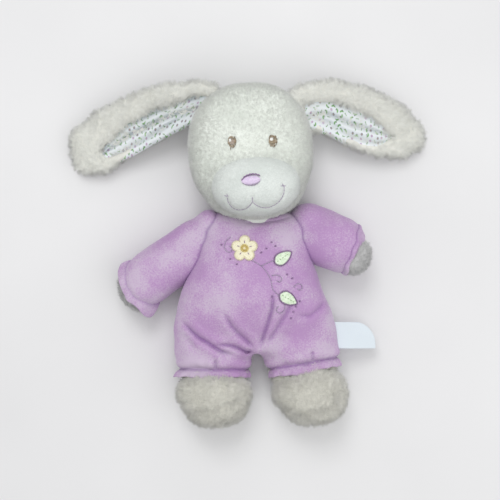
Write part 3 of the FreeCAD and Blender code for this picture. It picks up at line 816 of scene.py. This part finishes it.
for side in SIDES:
    far = world(ARM[side], [0, -ARM_LEN[side], 0])
    low, high = np.minimum(ARM[side].o, far) - 30, np.maximum(ARM[side].o, far) + 30
    low[2] = -4
    sleeve, (points, _) = soft_piece(
        f"sleeve_{side}_cloth", lambda p: floor_cut(p, sleeve_field(p, side), 4), low, high, 1.3,
        LILAC, 0.7, "lilac_velour", f"sleeve_{side}", f"arm_filling_{side}")
    # painted shade where the sleeve meets the romper
    paint_crease_shade(sleeve, 0.75 * bell(romper_field(points), 1.2))
    bend(sleeve, ARM[side], -14, 8, "torso", f"arm_{side}")

head, head_surface = soft_piece(
    "head_cloth", head_skin, (-60, 48, -6), (52, 172, 98), 1.8,
    HEAD_SKIN, 0.85, "head_plush", "head_front", "head_back", "head_filling")
muzzle, muzzle_surface = soft_piece(
    "muzzle_cloth", muzzle_skin, (-42, 52, 20), (42, 114, 98), 1.2,
    MUZZLE_SKIN, 0.85, "short_velour", "muzzle", "muzzle_filling")
neck, _ = soft_piece(
    "neck_cloth", lambda p: egg(p, limb(0, NECK_Y, NECK_Z), (22, 17, 19)), (-26, 38, 5), (26, 78, 50), 1.8,
    HEAD_SKIN, 0.8, "short_velour", "neck")
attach(neck, "torso")


def bare_of_muzzle(p):
    return (muzzle_field(p) > 0.1) & (p[:, 2] > 1)


face = fur("head_fur_face", "head", head_skin, head_surface,
           lambda p: (p[:, 2] > HEAD_SEAM) & bare_of_muzzle(p), HEAD_PILE)
back = fur("head_fur_back", "head", head_skin, head_surface,
           lambda p: (p[:, 2] <= HEAD_SEAM) & bare_of_muzzle(p), HEAD_PILE)
nap = fur("muzzle_nap", "muzzle", muzzle_skin, muzzle_surface,
          lambda p: (head_skin(p) > -0.4) & (p[:, 2] > 30), HEAD_PILE)
for ob in (head, muzzle, face, back, nap):
    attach(ob, "head")


def furred(what, side, form, low, high, step, mat, fill, nodes, keep):
    """A long-haired part: its cloth and its coat."""
    def field(p):
        return form(p, side)

    under, surface = soft_piece(f"{what}_{side}_cloth", field, low, high, step, mat, fill, "long_plush", *nodes)
    coat = fur(f"{what}_{side}_fur", what, field, surface, lambda p: keep(p) & (p[:, 2] > FUR_FLOOR),
               LONG_PILE)
    return under, coat


for side in SIDES:
    xs = [x for x, _, _ in RIM[side]]
    hole = LINING[side][0] + [(x + 0.8, y - 2.2) for x, y in LINING[side][1][::-1]]

    def off_lining(p):
        under = p[:, 2] < ear_level(p[:, 0], p[:, 1], side)
        return ((in_outline(p, hole) > 0.3) | under) & (head_field(p) > -1)

    for ob in furred("ear", side, ear_field, (min(xs) - 20, 90, -4), (max(xs) + 20, 176, 56), 1.6,
                     PLUSH_SKIN, 0.35, [f"ear_{side}_plush"], off_lining):
        bend(ob, EAR[side], -8, 14, "head", f"ear_{side}")

    at = world(LEG[side], [0, -45, 0])
    for ob in furred("foot", side, foot_field, at - [42, 32, 26], at + [42, 42, 44], 1.8,
                     FOOT_SKIN, 0.8, [f"foot_{what}_{side}" for what in ("upper", "sole", "filling")],
                     lambda p: along(LEG[side], p) > GATHER[side] + 3):
        bend(ob, LEG[side], LEG_START, LEG_END, "torso", f"leg_{side}")

    at = world(ARM[side], [0, -ARM_LEN[side], 0])
    for ob in furred("hand", side, hand_field, at - 26, at + 26, 1.6,
                     HAND_SKIN_IN_SHADE, 0.7, [f"hand_{side}"], lambda p: sleeve_field(p, side) > -0.5):
        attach(ob, f"arm_{side}")


# ---- ear linings with a small sprig print and painted shade ----
GREEN, PALE_GREEN, INK = srgb(112, 170, 92), srgb(160, 198, 142), srgb(84, 92, 92)
MAUVE, GREY_MAUVE, BUD = srgb(186, 158, 202), srgb(128, 120, 142), srgb(232, 214, 140)


def run_of(line):
    """Distance from the start of a polyline to each of its points."""
    return np.concatenate([[0], np.cumsum(np.linalg.norm(np.diff(line, axis=0), axis=1))])


def along_line(line, count):
    """Evenly spaced places along a polyline, and their distances along it."""
    line = np.array(line, float)
    run = run_of(line)
    s = np.linspace(0, run[-1], count)
    return np.stack([np.interp(s, run, line[:, i]) for i in range(line.shape[1])], 1), s


def sprig_print(places, seed):
    """A generic ditsy print: leaf pairs, five-petalled buds and dots, each turned its own way."""
    r = np.random.default_rng(seed)
    colours = np.repeat(np.array([srgb(234, 239, 242)[:3]]), len(places), 0)
    low, high = places.min(0), places.max(0)

    def blot(centre, half, tall, angle, colour, soft=0.35):
        """Prints an oval on the cloth."""
        c, d = math.cos(angle), math.sin(angle)
        q = places - centre
        k = np.hypot((q[:, 0] * c + q[:, 1] * d) / half, (q[:, 1] * c - q[:, 0] * d) / tall)
        share = np.clip((1 + soft - k) / (2 * soft), 0, 1)[:, None]
        colours[:] = colours * (1 - share) + np.array(colour[:3]) * share

    taken = []
    for _ in range(2600):
        c = r.uniform(low, high)
        if all(np.hypot(*(c - t)) > 3.5 for t in taken):
            taken.append(c)
    for number, c in enumerate(taken):
        turn = r.uniform(0, 6.28)
        way = np.array([math.cos(turn), math.sin(turn)])
        if number % 3 == 0:
            for spot in turn + np.arange(5) * 1.2566:
                petal = c + 0.62 * np.array([math.cos(spot), math.sin(spot)])
                blot(petal, 0.5, 0.4, spot, MAUVE if number % 2 else GREY_MAUVE)
            blot(c, 0.3, 0.3, 0, BUD)
        elif number % 3 == 1:
            for sign in (-1, 1):
                leaf = c + way * 0.75 * sign
                blot(leaf, 1.15, 0.56, turn + 0.5 * sign, GREEN if number % 4 else PALE_GREEN)
            blot(c - way[::-1] * 1.1, 0.45, 0.45, 0, INK)
        else:
            blot(c, 1.0, 0.26, turn, GREY_MAUVE)
            blot(c + way * 0.95, 0.62, 0.4, turn + 0.9, GREEN)
            blot(c - way * 0.75, 0.5, 0.36, turn - 0.9, PALE_GREEN)
    return colours


# Tucks of each lining: (place across, lean along the ear, depth, half width); the depth also sets the painted shade
# in a tuck. Dusk: the shade under its rim.
TUCKS = {"left": [(0.42, -0.3, 2.4, 0.11), (0.8, 0.3, 1.2, 0.1)],
         "right": [(0.45, -0.25, 1.8, 0.1), (0.8, 0.2, 1.0, 0.1)]}
DUSK = {"left": 0.5, "right": 0.25}
for side in SIDES:
    nu, nv = 420, 130
    (upper, run), (lower, _) = (along_line(edge, nu) for edge in LINING[side])
    wide = np.linalg.norm(upper - lower, axis=1)
    pinch, past = np.meshgrid(np.linspace(0, 1, nu), np.linspace(-0.1, 1.2, nv), indexing="ij")
    plan = upper[:, None] * (1 - past[..., None]) + lower[:, None] * past[..., None]
    places = np.stack([run[:, None] + 0 * past, wide[:, None] * (past - 0.5)], 2).reshape(-1, 2)
    flat, pinch, past = plan.reshape(-1, 2), pinch.ravel(), past.ravel()
    cross = past.clip(0, 1)
    level = ear_level(flat[:, 0], flat[:, 1], side)
    height, dark = level + 1.4, level * 0
    for at, lean, deep, broad in TUCKS[side]:
        gap = (cross - at - lean * (pinch - 0.5) - 0.04 * np.sin(pinch * 9 + at * 20)) / broad
        fade = np.sin(np.pi * pinch.clip(0.03, 0.97)) ** 0.4
        height = height + fade * deep * (0.7 * bell(gap - 1.7) - bell(gap))
        # painted shade in the tuck
        dark = np.maximum(dark, 0.2 * deep * bell((gap + 0.3) * 1.1))
    height = height + 1.5 * np.clip((past - 0.7) / 0.25, 0, 1) ** 2 - 3.2 * (np.clip(past - 1.04, 0, 1) / 0.16) ** 2
    height = height + 0.4 * wave(np.column_stack([flat, level * 0]), 9, 81)
    # painted shade under the rim, and a little towards the root
    dark = np.maximum(dark, DUSK[side] * bell(cross - 0.02, 0.12)) + DUSK[side] * 0.25 * (1 - pinch)
    faces = grid_faces(nu, nv)
    if side == "left":
        faces = faces[:, ::-1]
    lining = mesh_object(f"ear_{side}_lining_cloth", np.column_stack([flat, height]), faces, COTTON)
    # the print is multiplied by this painted shade
    shade = 1 - dark.clip(0, 0.6)[:, None] * [1.0, 0.93, 0.9]
    paint(lining, "PrintAndShade", sprig_print(places, 90 + len(side)) * shade)
    cloth_map(lining, places, 2.2)
    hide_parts(f"ear_{side}_lining")
    size = float(sum(p.area for p in lining.data.polygons))
    bend(lining, EAR[side], -8, 14, "head", f"ear_{side}")


# ---- hems ----
def hem(name, where, rows, crease, strip, around=200):
    """A gathered hem: by angle, a crease round a limb and a closed strip of (along, out) points."""
    t, v = smooth_rows(rows)
    loops, dark = [], []
    for a in np.linspace(0, 2 * math.pi, around, endpoint=False):
        s, line, c, d = crease(a), strip(a), math.cos(a), math.sin(a)
        side, rise, half, thick = (np.interp(s, t, v[:, i]) for i in range(4))
        loops += [[side + (half + out) * c, -(s + on), rise + (thick + out) * d] for on, out in line]
        # painted shade in the fold at the hem's root
        dark += [0.7 * bell(on, 1.4) for on, _ in line]
    points = world(where, loops)
    z = points[:, 2]
    points[:, 2] = np.where(z < 2, TABLE_GAP + 1.7 * np.exp((z - 2) / 1.7), z)
    ob = mesh_object(name, points, grid_faces(around, len(line), closed=True), LILAC)
    paint_crease_shade(ob, np.array(dark))
    smooth = ob.modifiers.new("round", "SUBSURF")
    smooth.levels = smooth.render_levels = 1
    return ob


def front(a):
    """How much an angle round a limb faces the front, 0 to 1."""
    return max(0.0, math.sin(a)) ** 0.85


def facing_side(a):
    return max(0.0, math.cos(a)) ** 2


def cuff_left(a):
    f, low, high = front(a), facing_side(a), facing_side(a + math.pi)
    reach = 11.5 - 4.8 * f + 1.5 * low + 0.5 * math.sin(5 * a + 1)
    out = 3.4 - 5.5 * f + 2.6 * low - 1.4 * high + 0.7 * math.sin(6 * a) + 0.4 * math.sin(11 * a + 1)
    return [(-0.6, -0.9), (0.8, 0.6 - 0.9 * f), (reach * 0.35, 0.4 * out + 0.9), (reach * 0.7, 0.8 * out + 0.9),
            (reach, out + 0.3), (reach + 0.3, out - 0.8), (reach * 0.7, 0.8 * out - 1.2),
            (reach * 0.35, 0.4 * out - 1.3), (0.2, -2.2)]


def cuff_right(a):
    f, high = front(a), facing_side(a)
    reach = 6.0 - 2.5 * f - 2.0 * high + 0.5 * math.sin(5 * a)
    out = 1.2 - 2.6 * f - 2.2 * high + 0.5 * math.sin(7 * a + 2)
    return [(-0.6, -0.9), (0.7, 0.3), (reach * 0.35, 0.4 * out + 0.6), (reach * 0.7, 0.8 * out + 0.5),
            (reach, out - 0.1), (reach + 0.2, out - 1.1), (reach * 0.7, 0.8 * out - 1.2),
            (reach * 0.35, 0.4 * out - 1.2), (0.2, -1.9)]


CUFFS = {
    "left": (lambda a: 55.5 + 13.5 * front(a) + 0.5 * math.sin(7 * a), cuff_left),
    "right": (lambda a: 33.5 + 7 * front(a) + 0.4 * math.sin(7 * a), cuff_right),
}
FRILL_REACH = {"left": 6.6, "right": 7.4}
for side in SIDES:
    cuff = hem(f"cuff_{side}_cloth", ARM[side], SLEEVES[side], *CUFFS[side])
    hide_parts(f"cuff_{side}")
    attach(cuff, f"arm_{side}")

    def frill(a):
        reach = FRILL_REACH[side] + 0.5 * math.sin(4 * a + 1) + 0.25 * math.sin(15 * a)
        out = 0.9 + 0.45 * math.sin(15 * a + 1.5 * math.sin(3 * a)) + 0.4 * math.sin(7 * a + 2)
        if side == "left":
            out += 3.0 * max(0.0, math.cos(a - 2.9)) ** 14
        return [(-0.8, -3.6), (0.6, -2.0), (reach * 0.3, 0.5 * out - 0.6), (reach * 0.65, 0.9 * out),
                (reach, 1.1 * out), (reach + 0.2, out - 1.0), (reach * 0.65, 0.8 * out - 1.2),
                (reach * 0.3, 0.4 * out - 1.9), (0.4, -3.4)]

    ruffle = hem(f"leg_cuff_{side}_frill", LEG[side], LEGS[side],
                 lambda a: GATHER[side] + 0.3 * math.sin(5 * a), frill, 300)
    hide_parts(f"leg_cuff_{side}")
    bend(ruffle, LEG[side], LEG_START, LEG_END, "torso", f"leg_{side}")


# ---- thread work ----
BEADS, SIDES_ROUND = 7, 6  # points along one stitch, and round it


def sewn(name, on, ends, lift, radius, mat, slot, *nodes):
    """Stitches of round thread on a surface: each end dives in, and the middle stands proud."""
    tree, body = on
    t = np.linspace(0, 1, BEADS)[:, None]
    arch = np.sin(np.pi * t) ** 0.5
    shape = np.sin(np.linspace(0.12, math.pi - 0.12, BEADS)) ** 0.35 * radius
    turns = 2 * math.pi * np.arange(SIDES_ROUND)[:, None] / SIDES_ROUND
    points, faces = [], []
    for number, (a, b) in enumerate(ends):
        spots, normals = dropped(tree, np.array(a) * (1 - t) + np.array(b) * t)
        line = spots + normals * (lift * arch - 0.1)
        run = unit(np.gradient(line, axis=0))
        up = unit(np.cross(run, np.cross([[0, 0, 1.0]], run)) + 1e-6)
        ring = np.cos(turns) * np.cross(run, up)[:, None] + np.sin(turns) * up[:, None]
        points.append((line[:, None] + shape[:, None, None] * ring).reshape(-1, 3))
        first, last = (number * BEADS + i for i in (0, BEADS - 1))
        for i in range(first, last):
            for k in range(SIDES_ROUND):
                a, b = (i * SIDES_ROUND + m % SIDES_ROUND for m in (k, k + 1))
                faces.append([a, b, b + SIDES_ROUND, a + SIDES_ROUND])
        caps = [[i * SIDES_ROUND + k for k in range(SIDES_ROUND)] for i in (first, last)]
        faces += [caps[0][::-1], caps[1]]
    ob = mesh_object(name, np.concatenate(points), faces, mat)
    if nodes:
        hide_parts(*nodes)
    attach(ob, body)


def seam_stitches(path, length, gap):
    """Ends of stitches one after another along a path."""
    spots, run = along_line(path, 200)
    count = max(1, round(run[-1] / (length + gap)))
    step = run[-1] / count
    marks = [(step * i, step * (i + 1) - gap) for i in range(count)]
    return [[np.array([np.interp(x, run, spots[:, k]) for k in (0, 1)]) for x in mark] for mark in marks]


def curve_through(points):
    """A smooth plan curve through points."""
    return smooth_rows(np.column_stack([run_of(points), points]), 60)[1]


def satin(centre, half, tall, turn, step, tilt=0.0, inner=0.0):
    """Ends of side-by-side stitches that fill an oval, or a ring if inner is above 0."""
    c, d = turned(turn)
    ends = []
    for x in np.arange(-half + step / 2, half, step):
        y = tall * math.sqrt(max(0, 1 - (x / half) ** 2))
        spans = [(-y, y)]
        if inner and abs(x) < half * inner:
            z = tall * inner * math.sqrt(max(0, 1 - (x / (half * inner)) ** 2))
            spans = [(-y, -z), (z, y)] if z else spans
        for span in spans:
            jitter = 0.15 * rng.normal(size=2)
            stitch = [(x - tilt * y, y + shift) for y, shift in zip(span, jitter)]
            ends.append(tuple(np.array([centre[0] + x * c - y * d, centre[1] + x * d + y * c]) for x, y in stitch))
    return ends


(head_points, head_faces), (muzzle_points, muzzle_faces) = head_surface, muzzle_surface
ON_HEAD = surface_of(np.concatenate([head_points, muzzle_points]),
                     np.concatenate([head_faces, muzzle_faces + len(head_points)])), "head"
ON_TORSO = torso_tree, "torso"
EYES = {"left": ((-18.6, 114.6), 8), "right": ((12.3, 115.2), -4)}
# About the middle of each eye: its spark (place, size), the line beside it, and a shorter one.
SPARKS = {"left": ((-1.1, 1.0), (0.7, 1.9)), "right": ((-1.0, 1.3), (1.2, 1.9))}
LID = [(1.9, 4.2), (3.2, 1), (2.8, -2.4), (0.6, -5)]
LASHES = {"left": [(-0.4, -3.8), (-0.9, -5.2), (-1, -6.4)], "right": [(-2.6, 1.6), (-2.4, 3.4), (-0.6, 4.6)]}
for side, (centre, turn) in EYES.items():
    spark_at, spark_size = SPARKS[side]
    lines = [curve_through(np.add(line, centre)) for line in (LID, LASHES[side])]
    sewn(f"eye_{side}_thread", ON_HEAD, satin(centre, 3.0, 4.5, turn, 0.5, inner=0.6), 1.3, 0.34,
         BROWN, "brown_thread", f"eye_{side}")
    sewn(f"eye_{side}_iris", ON_HEAD, satin(centre, 2.0, 2.9, turn, 0.5), 1.4, 0.34,
         TAUPE if side == "left" else BROWN, "brown_thread")
    sewn(f"eye_{side}_highlight", ON_HEAD, satin(np.add(centre, spark_at), *spark_size, turn, 0.45), 1.9, 0.3,
         WHITE_THREAD, "brown_thread")
    sewn(f"eye_{side}_outline", ON_HEAD, [e for line in lines for e in seam_stitches(line, 1.8, 0.1)], 1.5, 0.34,
         DARK_BROWN, "brown_thread")

sewn("nose_thread", ON_HEAD, satin((-4.0, 84.5), 7.0, 3.9, 9, 0.55, 0.15), 1.1, 0.38,
     PINK_LILAC, "lilac_thread", "nose")
nose_top = curve_through([(-11, 84.1), (-8.5, 87.1), (-4.4, 88.7), (0, 88.7), (2.8, 87.6)])
nose_low = curve_through([(-10.6, 82.6), (-7.5, 80.9), (-4, 80.6), (0.5, 81.6), (2.9, 84.3)])
sewn("nose_outline_upper", ON_HEAD, seam_stitches(nose_top, 2.2, 0.15), 1.25, 0.6, PLUM, "lilac_thread")
sewn("nose_outline_lower", ON_HEAD, seam_stitches(nose_low, 2.2, 0.15), 0.9, 0.34, MAUVE_THREAD, "lilac_thread")
ticks = [[(-24.3, 73.6), (-22, 72.6)], [(-22.4, 74.5), (-21.2, 72.4)],
         [(18, 80.4), (22.6, 80.6)], [(19.6, 82.2), (20.6, 80)]]
mouth = [e for line in MOUTH.values() for e in seam_stitches(curve_through(line), 2.3, 0.0)]
sewn("mouth_thread", ON_HEAD, mouth + ticks, 0.3, 0.34, MAUVE_THREAD, "lilac_thread", "mouth")


# ---- chest decoration: a generic daisy, two leaves, a stem and dots ----
PATCH_RINGS = [(1.0, None), (0.97, 0.55), (0.9, 0.95), (0.75, 1.1), (0.55, 1.15), (0.35, 1.2), (0.15, 1.2)]


def patch(name, outline, mat, thick, node_name):
    """A padded cloth patch with this outline in the plan, laid on the romper."""
    centre = outline.mean(0)
    points = []
    for share, height in PATCH_RINGS:
        spots, normals = dropped(torso_tree, centre + (outline - centre) * share)
        points.append(spots + normals * (-0.3 if height is None else thick * height))
    spot, normal = dropped(torso_tree, [centre])
    n, rings = len(outline), len(PATCH_RINGS)
    faces = [[r * n + i, r * n + (i + 1) % n, (r + 1) * n + (i + 1) % n, (r + 1) * n + i]
             for r in range(rings - 1) for i in range(n)]
    last = rings * n
    faces += [[last - n + i, last - n + (i + 1) % n, last] for i in range(n)]
    ob = mesh_object(name, np.vstack(points + [spot + normal * thick * 1.2]), faces, mat)
    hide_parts(node_name)
    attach(ob, "torso")


def border(outline, step=0.85, inside=0.9, outside=0.5):
    """Ends of short stitches across a patch's edge."""
    closed = np.vstack([outline, outline[:1]])
    spots = along_line(closed, max(12, int(run_of(closed)[-1] / step)))[0][:-1]
    way = np.roll(spots, -1, 0) - np.roll(spots, 1, 0)
    out = unit(np.stack([way[:, 1], -way[:, 0]], 1))
    return [(s + o * outside, s - o * inside) for s, o in zip(spots, out)]


DAISY = np.array([-9, 33])


def flower_outline(low, high, spin=0.0, petals=5, count=150):
    a = np.linspace(0, 2 * math.pi, count, endpoint=False)
    r = low + (high - low) * np.abs(np.cos(petals * (a - spin) / 2)) ** 0.6
    return np.stack([DAISY[0] + r * np.cos(a), DAISY[1] + r * np.sin(a)], 1)


def leaf_outline(centre, long, wide, turn, count=70):
    a = np.linspace(0, 2 * math.pi, count, endpoint=False)
    x, y = long * np.cos(a), wide * np.sin(a) * (1 - 0.35 * np.cos(a)) * (1 - np.abs(np.cos(a)) ** 6 * 0.5)
    c, d = turned(turn)
    return np.stack([centre[0] + x * c - y * d, centre[1] + x * d + y * c], 1)


edge = flower_outline(6.0, 10.2, 0.3)
patch("flower_patch", edge, CREAM_FELT, 1.0, "flower_applique")
sewn("flower_border", ON_TORSO, border(edge), 1.3, 0.3, CREAM_THREAD, "cream_felt")
button = [e for r in (2.6, 1.5) for e in border(flower_outline(r, r), 0.7, 0.5, 0.5)]
sewn("flower_button", ON_TORSO, button, 2.0, 0.45, GOLD_THREAD, "yellow_thread", "flower_centre")
ways = [np.array([math.cos(a), math.sin(a)]) for a in np.arange(5) * 1.2566 + 0.3]
sewn("flower_rays", ON_TORSO, [(DAISY + 3.6 * way, DAISY + 6.4 * way) for way in ways], 1.6, 0.28,
     PLUM, "lilac_thread")
for name, centre, turn in (("upper", np.array([21, 26]), 35), ("lower", np.array([25, -6]), -30)):
    edge, way = leaf_outline(centre, 8, 4.6, turn), np.array(turned(turn))
    patch(f"leaf_{name}_patch", edge, LEAF_CLOTH, 0.8, f"leaf_{name}")
    sewn(f"leaf_{name}_border", ON_TORSO, border(edge, 0.8), 1.1, 0.32, PLUM, "lilac_thread")
    vein = seam_stitches([centre - 6 * way, centre + 5.5 * way], 2, 0.5)
    sewn(f"leaf_{name}_vein", ON_TORSO, vein, 1.2, 0.26, SAGE_THREAD, "lilac_thread")
STEMS = [
    [(-3.5, 24), (4, 19.5), (11, 9.5), (12.8, 1.5)],
    [(12.8, 1.5), (17, -3), (21, -8), (22, -14), (18.5, -17), (15.5, -14.5), (17.5, -11.5)],
    [(4, 19.5), (9, 22), (13, 23.5), (17, 24)],
    [(-20, 42), (-24, 38), (-24, 32), (-20.5, 30), (-18.5, 33), (-21, 35)],
    [(12, 12), (17, 12.5), (20, 9.5), (18, 6.8), (15.8, 8.5)],
    [(29, 3), (33, 6), (36, 3.5), (34.5, 0.5), (32, 1.8)],
]
stem = [e for path in STEMS for e in seam_stitches(curve_through(path), 1.9, 0.2)]
sewn("stem_thread", ON_TORSO, stem, 0.7, 0.34, MAUVE_THREAD, "lilac_thread", "stem_stitching")
KNOTS = [(-27, 36), (-15, 21), (-20, 25), (4, 30), (8, 33), (12, 38), (15, 35), (24, 13), (28, 10),
         (31, -12), (29, -16), (27, -21), (34, -8), (12, -4)]
knots = [((x - 0.6, y - 0.2), (x + 0.6, y + 0.2)) for x, y in KNOTS]
sewn("knot_dots", ON_TORSO, knots, 0.8, 0.6, PLUM, "lilac_thread")


# ---- side label: a bare satin ribbon ----
LABEL_LONG, LABEL_WIDE = 35, 21.4
nu, nv = 70, 50
u, v = np.meshgrid(np.linspace(0, 1, nu), np.linspace(0, 1, nv), indexing="ij")
rounded = 1 - 0.52 * (1 - np.sqrt(1 - ((v - 0.15) / 0.87).clip(0, 0.995) ** 2))
x, y = LABEL_LONG * u * np.where(v > 0.15, rounded, 1), LABEL_WIDE * v
sag = 0.8 * np.sin(3.1 * u) * (1 - v) + 0.5 * np.sin(5 * u + 2 * v)
spots = np.stack([62.6 + x * math.cos(0.2), y - 47.2 - 0.6 * u, 24 - x * 0.2 + sag - 0.8 * u * v], 2)
label = mesh_object("side_label_ribbon", spots.reshape(-1, 3), grid_faces(nu, nv), ribbon())
cloth_map(label, np.stack([x.ravel(), y.ravel()], 1), 1.6)
label.modifiers.new("thick", "SOLIDIFY").thickness = 0.0004
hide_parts("side_label")
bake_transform(label)


# ---- stage ----
LAMPS = {  # place and size in metres, power in watts
    "key_lamp": ((-0.15, 0.65, 1.05), 0.5, 4.6),
    "fill_lamp": ((0.6, -0.4, 0.9), 0.9, 2.3),
    "front_lamp": ((0.0, 0.0, 1.4), 0.8, 2.8),
}
LAMP_AIM = (0, 0.03, 0.03)
for name, (place, size, power) in LAMPS.items():
    data = bpy.data.lights.new(name, "AREA")
    data.size, data.energy = size, power
    ob = linked(name, data)
    ob.location = place
    x, y, z = np.array(LAMP_AIM) - np.array(place)
    ob.rotation_euler = (math.atan2(math.hypot(x, y), -z), 0, math.atan2(y, x) - math.pi / 2)

paper, tree, shader = material("floor_paper", 0.95, Specular_IOR_Level=0.1)
grain = noise(tree, place_in(tree), 6)
looks(tree, shader, ramp(tree, grain, [(0.3, srgb(222, 222, 223)), (0.7, srgb(227, 227, 228))]))
corners = [(x * 1500, y * 1500, -0.2) for x, y in ((-1, -1), (1, -1), (1, 1), (-1, 1))]
mesh_object("floor", corners, [(0, 1, 2, 3)], paper, smooth=False)

sky = bpy.data.worlds.new("studio")
sky.use_nodes = True
for key, value in (("Color", (1, 1, 1, 1)), ("Strength", 0.64)):
    sky.node_tree.nodes["Background"].inputs[key].default_value = value
bpy.context.scene.world = sky
lens = bpy.data.cameras.new("camera")
lens.sensor_width, lens.lens = 36, 90
camera = linked("camera", lens)
camera.location = (-0.0048, 0.032, 1.03)
bpy.context.scene.camera = camera
bpy.context.scene.view_settings.view_transform = "Standard"
